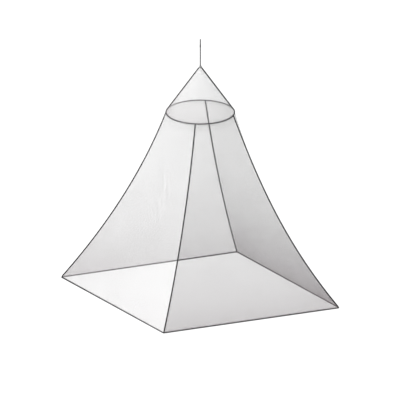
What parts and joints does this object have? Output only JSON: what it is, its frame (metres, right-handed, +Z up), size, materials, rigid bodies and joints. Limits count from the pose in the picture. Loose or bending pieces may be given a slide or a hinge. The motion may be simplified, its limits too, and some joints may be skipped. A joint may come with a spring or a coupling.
{
  "type": "mosquito net canopy with hoop and hanging cord",
  "caption": "Hanging bed net: a cone of netting on a cord, a round hoop, and a skirt that flares in four piped panels to a rectangular hem.",
  "frame": {"origin": "the underside of the hanging loop's crown, where a ceiling hook bears", "axes": "+Z up, out of the hanging point; +X across the bed, along the short sides of the hem; +Y along the bed, along the long sides of the hem"},
  "size_m": [1.909, 2.169, 2.5453],
  "materials": {
    "netting": "fine openwork polyester netting, see-through, white to pale grey",
    "piping": "round woven piping, near black",
    "hoop": "matt dark grey coated steel tube",
    "cord": "braided polyester cord, near black",
    "whipping": "wound waxed thread, near black"
  },
  "bodies": {
    "root": {"hanging_loop": "cord", "loop_whipping": "whipping", "hanging_cord": "cord", "tip_whipping": "whipping", "cone_gore_front": "netting", "cone_gore_back": "netting", "cone_seam_left": "piping", "cone_seam_right": "piping", "hoop": "hoop", "skirt_panel_front": "netting", "skirt_panel_right": "netting", "skirt_panel_back": "netting", "skirt_panel_left": "netting", "corner_seam_front_left": "piping", "corner_seam_front_right": "piping", "corner_seam_back_right": "piping", "corner_seam_back_left": "piping", "hem_binding_front": "piping", "hem_binding_right": "piping", "hem_binding_back": "piping", "hem_binding_left": "piping"}
  },
  "joints": []
}
